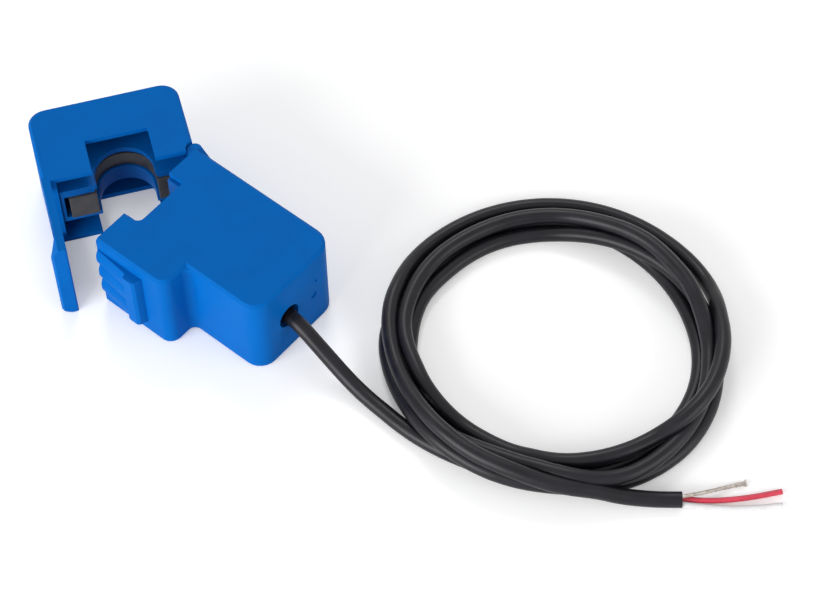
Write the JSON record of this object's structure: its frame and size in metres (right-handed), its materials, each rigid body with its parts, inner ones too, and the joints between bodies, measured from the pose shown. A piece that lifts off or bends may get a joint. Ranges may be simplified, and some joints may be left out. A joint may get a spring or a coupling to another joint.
{
  "type": "current transformer",
  "caption": "Split-core current transformer: hinged plastic case round ferrite U cores, snap latch on a ribbed wedge, and a coiled screened lead with stripped ends.",
  "frame": {"origin": "centre of the body's back face, which the part lies on", "axes": "+X across the jaw towards the hinge, +Y along the body towards the jaw, +Z along the conductor, from the back face to the front face"},
  "size_m": [0.0971, 0.1765, 0.0222],
  "materials": {
    "blue_plastic": "satin",
    "frame_plastic": "satin",
    "ferrite": "matte",
    "nylon": "satin",
    "copper_wire": "gloss",
    "polyester_tape": "gloss",
    "heat_shrink": "satin",
    "red_insulation": "satin",
    "white_insulation": "satin",
    "diode": "gloss",
    "jacket": "satin",
    "steel": "satin",
    "tinned_copper": "satin"
  },
  "bodies": {
    "housing": {"body_housing": "blue_plastic", "jaw_insert": "frame_plastic", "lower_core": "ferrite", "bobbin_front": "nylon", "bobbin_back": "nylon", "secondary_winding": "copper_wire", "winding_tape": "polyester_tape", "start_lead": "copper_wire", "finish_lead": "copper_wire", "sleeve_start": "heat_shrink", "sleeve_finish": "heat_shrink", "inner_red": "red_insulation", "inner_white": "white_insulation", "surge_diode": "diode", "cord_inner": "jacket", "cord_tie": "nylon", "hinge_pin": "steel", "cord_lead": "jacket", "cord_coil": "jacket", "cord_tail": "jacket", "red_wire": "red_insulation", "white_wire": "white_insulation", "screen_wire": "tinned_copper"},
    "cap": {"jaw_cap": "blue_plastic", "core_saddle": "frame_plastic", "upper_core": "ferrite", "core_spring": "steel"}
  },
  "joints": [
    {"name": "jaw_hinge", "type": "hinge", "parent": "housing", "child": "cap", "pos_m": [0.0155, 0.01995, 0.0111], "axis": [0, 0, -1], "range_deg": [-35, 55]}
  ]
}
